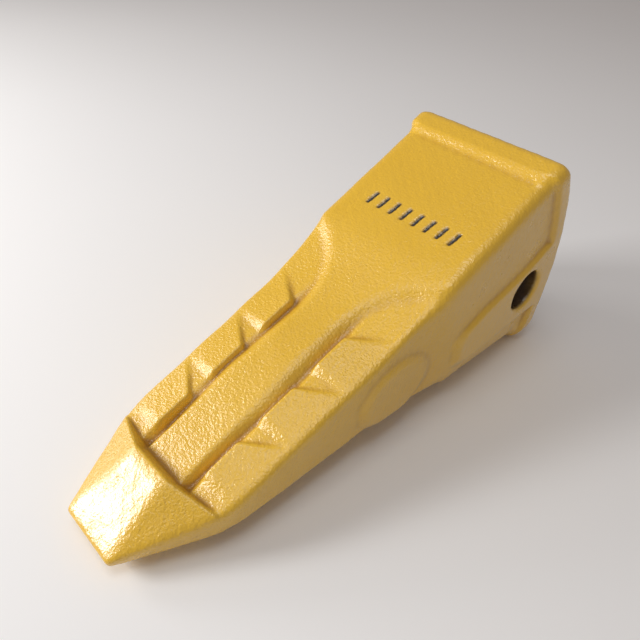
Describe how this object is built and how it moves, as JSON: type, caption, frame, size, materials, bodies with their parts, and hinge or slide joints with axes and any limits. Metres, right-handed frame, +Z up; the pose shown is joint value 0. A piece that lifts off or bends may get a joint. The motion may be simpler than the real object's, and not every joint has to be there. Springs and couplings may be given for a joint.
{
  "type": "excavator bucket tooth",
  "caption": "Cast chisel-point bucket tooth with ribbed, padded faces, a tapered rear socket, and a cross pin held by a split ring in a rubber retainer.",
  "frame": {"origin": "on the floor under the middle of the box around the tooth, which lies on the front end of its lower rib and on its lower lip", "axes": "+X across the tooth along its pin, -Y towards the tip, +Z up; the tooth's own mid-plane rises about 10.2 degrees towards the rear"},
  "size_m": [0.1134, 0.3234, 0.141],
  "materials": {
    "yellow_paint": "semi-gloss ochre paint over sand-cast steel",
    "pin_steel": "turned and hardened, dull",
    "spring_steel": "blued spring steel",
    "rubber": "matt moulded"
  },
  "bodies": {
    "tooth": {"tooth_casting": "yellow_paint", "retainer_rubber": "rubber"},
    "ring": {"snap_ring": "spring_steel"},
    "pin": {"retaining_pin": "pin_steel"}
  },
  "joints": [
    {"name": "pin_turn", "type": "hinge", "parent": "tooth", "child": "ring", "pos_m": [0, 0.12752, 0.05418], "axis": [1, 0, 0], "continuous": true},
    {"name": "pin_drive", "type": "slide", "parent": "ring", "child": "pin", "axis": [1, 0, 0], "range_m": [0, 0.11], "deforming": ["snap_ring"]}
  ]
}
